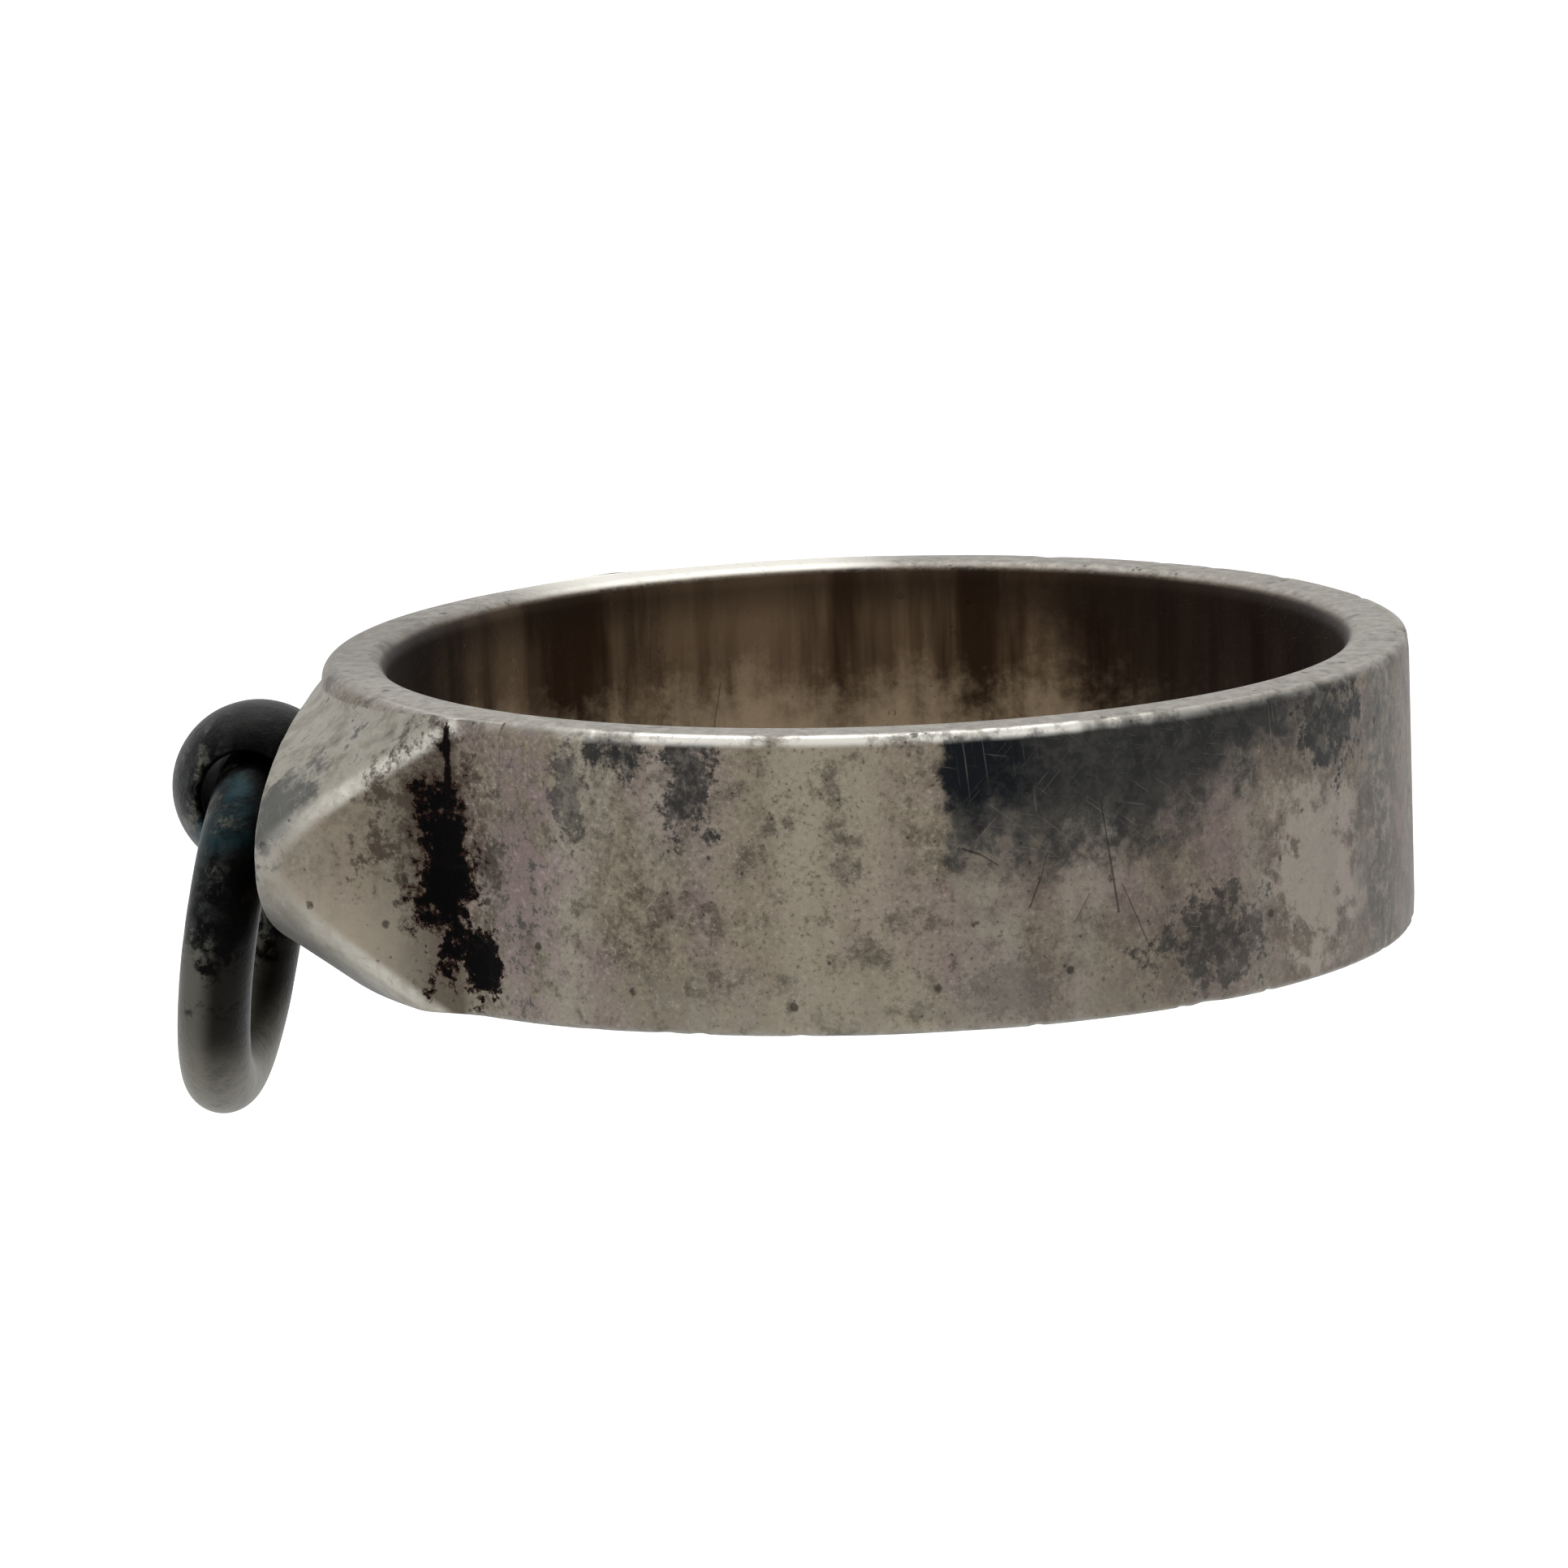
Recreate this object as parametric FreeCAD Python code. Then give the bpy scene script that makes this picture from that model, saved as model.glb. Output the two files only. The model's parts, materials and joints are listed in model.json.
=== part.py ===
import FreeCAD, Part
import math
import os

# Finger ring: a flat band, a flat-topped head soldered on its outside, a drilled bead on
# the head, and a closed wire hoop that swings in the bead.
#
# Frame, in millimetres: the origin is the centre of the finger bore, +Z is the bore's axis,
# the head points to -X, and the bead's hole runs along Y.

# ---- driving dimensions -------------------------------------------------------------------

bore_radius = 9.1            # US size 8, 18.2 mm inside
band_wall = 1.25
band_width = 5.6
bore_edge_round = 0.4        # comfort edge, inside
rim_edge_round = 0.1         # nearly sharp edge, outside

seat_flat_depth = 0.35       # flat filed on the outside of the band under the head
solder_gap = 0.03            # between soldered faces

head_rise = 0.15             # the flat face above the top of the band
face_half_length = 7.1       # along Y
face_half_width = 2.35       # along Z
head_drop = 0.22             # the head is filed a little below the middle of the band
shoulder_angle = 54.5        # degrees round the band from the head's middle to its foot
bevel_spread_length = 0.8    # growth of the bevel per millimetre below the face, along Y
bevel_spread_width = 0.65    # the same, along Z

bead_radius = 1.685
bead_seat_depth = 0.285      # how far the bead sinks into the face
bead_mouth_round = 0.2       # at both ends of the bead's hole

peg_radius = 0.45
peg_fit = 0.02               # radial, in the band, the head and the bead
peg_band_cover = 0.4         # metal left between the peg and the bore
peg_bead_cover = 0.12        # metal left between the peg and the bead's hole
peg_end_gap = 0.03

hoop_wire_radius = 0.71
hoop_radius = 2.97           # to the middle of the wire
hoop_play = 0.04             # radial, in the bead's hole
hoop_lean = 8.3              # degrees outward from straight down, at rest
hoop_turn = 2.5              # degrees the loose hoop is turned in its hole, at rest

# ---- places worked out from them ------------------------------------------------------------

X_AXIS = FreeCAD.Vector(1, 0, 0)
Y_AXIS = FreeCAD.Vector(0, 1, 0)
Z_AXIS = FreeCAD.Vector(0, 0, 1)

band_radius = bore_radius + band_wall
half_width = band_width / 2
seat_height = band_radius - seat_flat_depth
face_height = band_radius + head_rise
foot_height = band_radius * math.cos(math.radians(shoulder_angle))
foot_y = band_radius * math.sin(math.radians(shoulder_angle))
bead_height = face_height - bead_seat_depth + bead_radius

# The wire is curved and the hole is straight: the wire's outside touches the middle of the
# hole while its inside touches the two mouths. This is the smallest hole that lets it by.
mouth_half = math.sqrt(bead_radius ** 2 - hoop_wire_radius ** 2) - bead_mouth_round
hoop_inside = hoop_radius - hoop_wire_radius
mouth_rise = math.sqrt(hoop_inside ** 2 - mouth_half ** 2)
tight_hole_radius = (hoop_radius + hoop_wire_radius - mouth_rise) / 2
bead_hole_radius = tight_hole_radius + hoop_play
hoop_drop = hoop_radius + hoop_wire_radius - tight_hole_radius

peg_bottom = bore_radius + peg_band_cover
peg_top = bead_height - bead_hole_radius - peg_bead_cover


def at_height(height, y=0.0, z=0.0):
    """Point at a height above the bore's centre, towards the head."""
    return FreeCAD.Vector(-height, y, z)


def disc(radius, bottom, top):
    """Cylinder on the bore's axis between two levels of Z."""
    return Part.makeCylinder(radius, top - bottom, FreeCAD.Vector(0, 0, bottom), Z_AXIS)


def peg_shape(radius, bottom, top):
    """Cylinder along the head's direction between two heights."""
    return Part.makeCylinder(radius, top - bottom, at_height(bottom), -X_AXIS)


def below_height(height, reach):
    """Block of all space on the bore's side of a height."""
    block = Part.makeBox(2 * reach, 2 * reach, 2 * reach)
    block.translate(FreeCAD.Vector(-height, -reach, -reach))
    return block


def edges_at_radius(shape, radius):
    """Circular edges of a disc shape that lie on one radius about Z."""
    return [edge for edge in shape.Edges
            if isinstance(edge.Curve, Part.Circle) and abs(edge.Curve.Radius - radius) < 1e-6]


def seated_core(gap):
    """The band's outside with the flat for the head, made larger all over by a gap."""
    core = disc(band_radius + gap, -band_width, band_width)
    return core.common(below_height(seat_height + gap, 3 * band_radius))


def make_band():
    """Full circle of flat wire, with a comfort edge in the bore and a flat for the head."""
    inner_round = min(bore_edge_round, 0.45 * band_wall)
    outer_round = min(rim_edge_round, 0.45 * band_wall)
    outside = disc(band_radius, -half_width, half_width)
    outside = outside.makeFillet(outer_round, edges_at_radius(outside, band_radius))
    band = outside.cut(disc(bore_radius, -half_width, half_width))
    band = band.makeFillet(inner_round, edges_at_radius(band, bore_radius))
    band = band.common(below_height(seat_height, 3 * band_radius))
    return band.cut(peg_shape(peg_radius + peg_fit, peg_bottom - peg_end_gap, band_radius))


def bevel_section(height):
    """Ellipse of the head's bevel at one height; it spreads towards the bore."""
    depth = face_height - height
    long_half = face_half_length + bevel_spread_length * depth
    short_half = face_half_width + bevel_spread_width * depth
    middle = at_height(height, 0, -head_drop)
    long_end = middle + Y_AXIS * long_half
    short_end = middle + Z_AXIS * short_half
    return Part.Wire(Part.Ellipse(long_end, short_end, middle).toShape())


def make_head():
    """Saddle block: flat face, two flat shoulders, a bevel all round, and the bead's dish."""
    corners = [
        at_height(foot_height, -foot_y, -half_width),
        at_height(face_height, -face_half_length, -half_width),
        at_height(face_height, face_half_length, -half_width),
        at_height(foot_height, foot_y, -half_width),
    ]
    outline = Part.makePolygon(corners + corners[:1])
    block = Part.Face(outline).extrude(Z_AXIS * band_width)
    bevel = Part.makeLoft([bevel_section(foot_height), bevel_section(face_height)], True, True)
    head = block.common(bevel).cut(seated_core(solder_gap))
    head = head.cut(Part.makeSphere(bead_radius + solder_gap, at_height(bead_height)))
    return head.cut(peg_shape(peg_radius + peg_fit, seat_height, bead_height))


def make_bead():
    """Ball with a through hole along Y, rounded mouths, and a blind hole for the peg."""
    mouth_y = math.sqrt(bead_radius ** 2 - bead_hole_radius ** 2)
    near_mouth = at_height(bead_height + bead_hole_radius, -mouth_y)
    far_mouth = at_height(bead_height + bead_hole_radius, mouth_y)
    skin = Part.Arc(near_mouth, at_height(bead_height + bead_radius), far_mouth).toShape()
    wall = Part.makeLine(far_mouth, near_mouth)
    half_section = Part.Face(Part.Wire([skin, wall]))
    bead = half_section.revolve(at_height(bead_height), Y_AXIS, 360)
    bead = bead.makeFillet(bead_mouth_round, mouth_edges(bead))
    return bead.cut(peg_shape(peg_radius + peg_fit, seat_height, peg_top + peg_end_gap))


def mouth_edges(bead):
    """The two circular edges where the hole leaves the ball."""
    return [edge for edge in bead.Edges
            if edge.isClosed() and abs(edge.Curve.Radius - bead_hole_radius) < 1e-6]


def make_peg():
    """Peg from the band through the head into the bead; it stops short of the bead's hole."""
    return peg_shape(peg_radius, peg_bottom, peg_top)


def make_hoop():
    """Closed round-wire hoop, hanging from the bead's hole in its rest pose."""
    hoop = Part.makeTorus(hoop_radius, hoop_wire_radius, at_height(bead_height, 0, -hoop_drop), X_AXIS)
    hole_centre = at_height(bead_height)
    hoop.rotate(hole_centre, Z_AXIS, hoop_turn)
    hoop.rotate(hole_centre, Y_AXIS, hoop_lean)
    return hoop


pieces = {
    "band": make_band,
    "head": make_head,
    "bead": make_bead,
    "bead_peg": make_peg,
    "hoop": make_hoop,
}

os.makedirs("parts", exist_ok=True)
for name, make in pieces.items():
    shape = make()
    solids = shape.Solids
    shape = solids[0] if len(solids) == 1 else shape
    shape.exportStep("parts/" + name + ".step")
    print(name, "solids", len(solids), "valid", shape.isValid(), "volume", round(shape.Volume, 3))
print("bead hole radius", round(bead_hole_radius, 3), "hoop drop", round(hoop_drop, 3))
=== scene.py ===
"""Finger ring with a flat-topped head, a drilled bead and a captive wire hoop: how it looks.

Everything is in metres in the ring's own frame: the finger bore runs along Z through the
origin, the head and its bead point to -X, and the hoop hangs in the bead's hole.
Sizes that are easier to think of in millimetres are written as a number times MM.
"""

import json
import logging
import math
from dataclasses import dataclass
from enum import Enum
from typing import Any

import bpy
import numpy as np
from mathutils import Matrix, Vector

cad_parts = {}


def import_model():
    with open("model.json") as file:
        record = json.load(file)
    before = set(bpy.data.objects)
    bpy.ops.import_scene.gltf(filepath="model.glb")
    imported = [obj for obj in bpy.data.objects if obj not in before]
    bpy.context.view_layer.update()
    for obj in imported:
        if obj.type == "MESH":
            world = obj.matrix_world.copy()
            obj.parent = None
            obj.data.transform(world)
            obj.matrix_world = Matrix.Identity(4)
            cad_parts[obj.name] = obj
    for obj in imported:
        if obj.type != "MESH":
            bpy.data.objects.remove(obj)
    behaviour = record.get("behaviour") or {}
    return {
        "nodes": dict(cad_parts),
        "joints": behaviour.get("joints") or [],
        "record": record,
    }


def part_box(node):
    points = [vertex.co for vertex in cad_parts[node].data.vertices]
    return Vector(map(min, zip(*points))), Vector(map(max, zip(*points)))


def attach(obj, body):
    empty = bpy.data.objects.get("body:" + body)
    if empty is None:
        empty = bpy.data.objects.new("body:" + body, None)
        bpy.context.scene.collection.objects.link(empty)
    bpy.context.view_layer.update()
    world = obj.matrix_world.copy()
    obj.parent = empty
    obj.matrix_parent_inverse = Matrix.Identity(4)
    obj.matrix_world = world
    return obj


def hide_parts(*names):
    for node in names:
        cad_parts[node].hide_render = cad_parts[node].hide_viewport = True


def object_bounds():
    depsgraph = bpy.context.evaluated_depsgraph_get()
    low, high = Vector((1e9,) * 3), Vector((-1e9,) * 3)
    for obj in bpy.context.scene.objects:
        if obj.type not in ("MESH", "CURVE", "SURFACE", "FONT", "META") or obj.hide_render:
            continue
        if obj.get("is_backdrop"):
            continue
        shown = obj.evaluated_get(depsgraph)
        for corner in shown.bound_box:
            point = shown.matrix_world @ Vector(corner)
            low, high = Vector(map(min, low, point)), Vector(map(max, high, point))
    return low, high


frame: dict[str, Any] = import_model()

MM: float = 0.001
LOG: logging.Logger = logging.getLogger("finger_ring")
Colour = tuple[float, float, float]
Pair = tuple[float, float]


def rgba(colour: Colour) -> tuple[float, float, float, float]:
    """Return a colour with full opacity."""
    return (*colour, 1.0)


class Side(Enum):
    """Which rim of the band."""

    LOWER = -1
    UPPER = 1


# ---- shader expressions


class Value:
    """A shader socket that can be used in a Python expression."""

    def __init__(self, tree: "ShaderTree", socket: Any) -> None:
        """Wrap a socket of a tree.

        Args:
            tree: The tree that the socket belongs to.
            socket: The output socket.
        """
        self.tree = tree
        self.socket = socket

    def _math(self, operation: str, *values: Any) -> "Value":
        """Add one Math node and return its result."""
        return self.tree.node("ShaderNodeMath", {"operation": operation}, dict(enumerate(values)))

    def __add__(self, other: Any) -> "Value":
        """Return the sum."""
        return self._math("ADD", self, other)

    __radd__ = __add__

    def __sub__(self, other: Any) -> "Value":
        """Return the difference."""
        return self._math("SUBTRACT", self, other)

    def __rsub__(self, other: Any) -> "Value":
        """Return the reflected difference."""
        return self._math("SUBTRACT", other, self)

    def __mul__(self, other: Any) -> "Value":
        """Return the product."""
        return self._math("MULTIPLY", self, other)

    def __truediv__(self, other: Any) -> "Value":
        """Return the quotient."""
        return self._math("DIVIDE", self, other)

    def __abs__(self) -> "Value":
        """Return the size without its sign."""
        return self._math("ABSOLUTE", self)

    def at_most(self, other: Any) -> "Value":
        """Return the smaller of two values."""
        return self._math("MINIMUM", self, other)

    def at_least(self, other: Any) -> "Value":
        """Return the larger of two values."""
        return self._math("MAXIMUM", self, other)

    def root(self) -> "Value":
        """Return the square root."""
        return self._math("SQRT", self)

    def angle_from(self, along: Any) -> "Value":
        """Return atan2(self, along)."""
        return self._math("ARCTAN2", self, along)

    def ramp(self, low: float, high: float) -> "Value":
        """Rise smoothly from 0 to 1 between two levels, or fall if low is above high.

        Args:
            low: Level that gives 0.
            high: Level that gives 1.

        Returns:
            The smooth step.
        """
        settings = {"interpolation_type": "SMOOTHSTEP"}
        inputs = {"Value": self, "From Min": min(low, high), "From Max": max(low, high)}
        step = self.tree.node("ShaderNodeMapRange", settings, inputs)
        return step if low < high else 1.0 - step


class ShaderTree:
    """The node tree of a material or world, with one way to add any node."""

    def __init__(self, owner: Any) -> None:
        """Empty the tree.

        Args:
            owner: The material or world.
        """
        self.owner = owner
        self.owner.use_nodes = True
        self.tree = self.owner.node_tree
        self.tree.nodes.clear()

    def node(self, kind: str, settings: dict[str, Any], inputs: dict[Any, Any], out: Any = 0) -> Value:
        """Add a node, set it up and link it.

        Args:
            kind: The node's type name.
            settings: Attributes to set first.
            inputs: Values or links by socket name or number.
            out: Name or number of the output to return.

        Returns:
            The chosen output as a Value.
        """
        made = self.tree.nodes.new(kind)
        for name, value in settings.items():
            setattr(made, name, value)
        for key, value in inputs.items():
            if isinstance(value, Value):
                self.tree.links.new(value.socket, made.inputs[key])
            else:
                made.inputs[key].default_value = value
        return Value(self, made.outputs[out])

    def place_mm(self) -> Value:
        """Return the place on the piece, in millimetres."""
        place = self.node("ShaderNodeTexCoord", {}, {}, "Object")
        return self.node("ShaderNodeVectorMath", {"operation": "SCALE"}, {0: place, "Scale": 1 / MM})

    def seen_rays(self) -> Value:
        """Return 1 for a ray that shows the background.

        Returns:
            1 for camera rays and for those that metal or glass sends on, otherwise 0.
        """
        names = ("Is Camera Ray", "Is Glossy Ray", "Is Transmission Ray")
        camera, glossy, through = (self.node("ShaderNodeLightPath", {}, {}, name) for name in names)
        return camera.at_least(glossy).at_least(through)

    def split(self, vector: Value) -> tuple[Value, Value, Value]:
        """Take a vector apart.

        Args:
            vector: The vector.

        Returns:
            Its three parts.
        """
        parts = self.tree.nodes.new("ShaderNodeSeparateXYZ")
        self.tree.links.new(vector.socket, parts.inputs[0])
        return tuple(Value(self, output) for output in parts.outputs)

    def join(self, x: Any, y: Any, z: Any) -> Value:
        """Return a vector made of three values."""
        return self.node("ShaderNodeCombineXYZ", {}, {0: x, 1: y, 2: z})

    def stretch(self, vector: Value, turn: float, scale: Colour) -> Value:
        """Turn a vector about Z and scale it.

        Args:
            vector: The vector to change.
            turn: Angle in degrees.
            scale: Factor along each axis, after the turn.

        Returns:
            The changed vector.
        """
        turned = self.node(
            "ShaderNodeVectorRotate",
            {"rotation_type": "Z_AXIS"},
            {"Vector": vector, "Angle": math.radians(turn)},
        )
        return self.node("ShaderNodeVectorMath", {"operation": "MULTIPLY"}, {0: turned, 1: scale})

    def noise(self, vector: Value, scale: float, detail: float = 4.0, rough: float = 0.55) -> Value:
        """Return fractal noise.

        Args:
            vector: Place to look it up at.
            scale: How fine it is.
            detail: How many finer layers it has.
            rough: Strength of the finer layers.

        Returns:
            The noise, between about 0 and 1.
        """
        inputs = {"Vector": vector, "Scale": scale, "Detail": detail, "Roughness": rough}
        return self.node("ShaderNodeTexNoise", {}, inputs, "Fac")

    def cells(self, vector: Value, scale: float) -> Value:
        """Return the distance to the nearest of scattered points."""
        return self.node("ShaderNodeTexVoronoi", {}, {"Vector": vector, "Scale": scale}, "Distance")

    def blend(self, mask: Any, under: Any, over: Any) -> Value:
        """Lay one colour over another.

        Args:
            mask: 0 shows under and 1 shows over.
            under: Colour below, linear.
            over: Colour above, linear.

        Returns:
            The mixed colour.
        """
        colours = {6: under, 7: over}
        inputs = {key: c if isinstance(c, Value) else rgba(c) for key, c in colours.items()}
        return self.node("ShaderNodeMix", {"data_type": "RGBA"}, {0: mask, **inputs}, 2)

    def layers(self, colour: Any, *coats: tuple[Any, Any]) -> Any:
        """Lay coats of colour over a base, one after the other.

        Args:
            colour: The base colour.
            coats: The mask and the colour of each coat.

        Returns:
            The mixed colour.
        """
        for mask, over in coats:
            colour = self.blend(mask, colour, over)
        return colour

    def bump(self, height: Value, depth: float, normal: Value | None = None) -> Value:
        """Return a normal raised by a height.

        Args:
            height: Height between 0 and 1.
            depth: Distance in metres that a height of 1 stands for.
            normal: Normal of a coarser layer below, if any.

        Returns:
            The new normal.
        """
        inputs = {"Height": height, "Distance": depth, "Strength": 1.0}
        if normal is not None:
            inputs["Normal"] = normal
        return self.node("ShaderNodeBump", {}, inputs)

    def close(self, surface: Value, kind: str) -> None:
        """Send a surface to a new output node.

        Args:
            surface: The surface's shader.
            kind: The output node's type name.
        """
        output = self.tree.nodes.new(kind)
        self.tree.links.new(surface.socket, output.inputs["Surface"])

    def finish(self, colour: Value, roughness: Value, metal: Value, normal: Value) -> bpy.types.Material:
        """Close the tree with a metal surface.

        Args:
            colour: Base colour.
            roughness: Roughness.
            metal: How metallic it is.
            normal: Surface normal.

        Returns:
            The finished material.
        """
        inputs = {"Base Color": colour, "Roughness": roughness, "Metallic": metal, "Normal": normal}
        self.close(self.node("ShaderNodeBsdfPrincipled", {}, inputs), "ShaderNodeOutputMaterial")
        return self.owner


# ---- finishes


@dataclass(frozen=True)
class Silver:
    """Colours of silver from bright wear and painted highlights to black sulphide, linear; some also serve as
    painted reflection and painted shade.
    """

    polish_and_highlight: Colour = (0.72, 0.70, 0.64)
    ridge_highlight: Colour = (0.58, 0.56, 0.50)
    bevel_pale: Colour = (0.335, 0.316, 0.270)
    cream: Colour = (0.33, 0.295, 0.25)
    speck: Colour = (0.315, 0.288, 0.238)
    facet_low: Colour = (0.315, 0.278, 0.215)
    rim: Colour = (0.30, 0.285, 0.25)
    blush: Colour = (0.30, 0.245, 0.235)
    # worn: pale worn silver, also laid in upright bands as a painted reflection
    worn: Colour = (0.275, 0.25, 0.205)
    glow: Colour = (0.270, 0.205, 0.132)
    front_reflection: Colour = (0.255, 0.222, 0.165)
    bevel: Colour = (0.205, 0.187, 0.152)
    rim_dull: Colour = (0.20, 0.185, 0.165)
    facet: Colour = (0.200, 0.170, 0.130)
    grey: Colour = (0.200, 0.170, 0.128)
    lilac: Colour = (0.185, 0.138, 0.135)
    rubbed: Colour = (0.128, 0.121, 0.095)
    muted: Colour = (0.115, 0.094, 0.080)
    brown: Colour = (0.112, 0.074, 0.044)
    warm: Colour = (0.105, 0.084, 0.062)
    dull: Colour = (0.088, 0.084, 0.069)
    dust: Colour = (0.08, 0.08, 0.072)
    blotch: Colour = (0.062, 0.066, 0.066)
    dusk: Colour = (0.062, 0.060, 0.052)
    umber: Colour = (0.052, 0.041, 0.030)
    shadow: Colour = (0.050, 0.048, 0.040)
    stain: Colour = (0.045, 0.034, 0.025)
    smoke: Colour = (0.038, 0.038, 0.036)
    scar: Colour = (0.024, 0.019, 0.015)
    bore_dark: Colour = (0.022, 0.011, 0.005)
    rust: Colour = (0.022, 0.0045, 0.0022)
    graphite: Colour = (0.018, 0.0215, 0.020)
    bore_lip: Colour = (0.014, 0.008, 0.0045)
    teal: Colour = (0.009, 0.038, 0.047)
    slate: Colour = (0.0085, 0.0100, 0.0115)
    bore_black: Colour = (0.007, 0.0024, 0.0016)
    bore_end: Colour = (0.006, 0.0035, 0.002)
    black: Colour = (0.0022, 0.0018, 0.0018)


SILVER = Silver()


class Skin:
    """Where a shaded point of the band or the head lies, and the noises there."""

    def __init__(self, tree: ShaderTree, band: "Band", foot: float) -> None:
        """Measure the point and add the noises.

        Args:
            tree: The material's tree.
            band: The band.
            foot: Degrees from the side opposite the head to a shoulder's foot.
        """
        self.tree = tree
        place = tree.place_mm()
        self.x, self.y, self.z = tree.split(place)
        self.reach = (self.x * self.x + self.y * self.y).root()
        self.angle = self.y.angle_from(self.x) * math.degrees(1)
        self.arc = self.angle * (math.radians(1) * band.radius)
        self.flat = tree.join(self.arc, self.z, self.reach)
        above = self.reach.ramp(band.radius + 0.002, band.radius + 0.03)
        self.on_head = above * abs(self.angle).ramp(foot + 0.5, foot + 2.0)
        self.off_head = 1.0 - self.on_head
        self.broad = tree.noise(place, 0.42, 6.0, 0.62)
        self.cloud = tree.noise(place, 1.35, 9.0, 0.72)
        self.spot = tree.noise(place, 3.6, 9.0, 0.74)
        self.fine = tree.noise(place, 11.0, 6.0, 0.7)
        # painted reflection: soft upright bands that stand in for the surroundings mirrored in the silver
        self.reflection_bands = tree.noise(tree.stretch(self.flat, 0, (0.62, 0.09, 0.4)), 1.0, 3.0)
        self.ragged = (self.cloud - 0.5) * 2.4 + (self.spot - 0.5) * 1.5 + (self.fine - 0.5) * 0.6

    def patch(
        self, at: Pair, size: Pair, angle: Value | None = None, ragged: Value | None = None
    ) -> Value:
        """Return one ragged oval patch.

        Args:
            at: Its middle, in degrees and millimetres.
            size: Its half sizes, in degrees and millimetres.
            angle: Degrees to measure it in, if not those round the band.
            ragged: Noise that breaks its edge, if not the usual one.

        Returns:
            The mask.
        """
        across = ((self.angle if angle is None else angle) - at[0]) / size[0]
        up = (self.z - at[1]) / size[1]
        broken = (self.ragged if ragged is None else ragged) * 1.9
        return ((across * across + up * up).root() + broken).ramp(1.30, 0.62)


@dataclass(frozen=True)
class Scratch:
    """One deep scratch on the outside of the band, in degrees round and millimetres up."""

    start: Pair
    end: Pair
    width: float


@dataclass(frozen=True)
class Tarnish:
    """One dark patch on the outside of the band, in degrees round and millimetres up."""

    middle: Pair
    size: Pair
    weight: float


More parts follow.
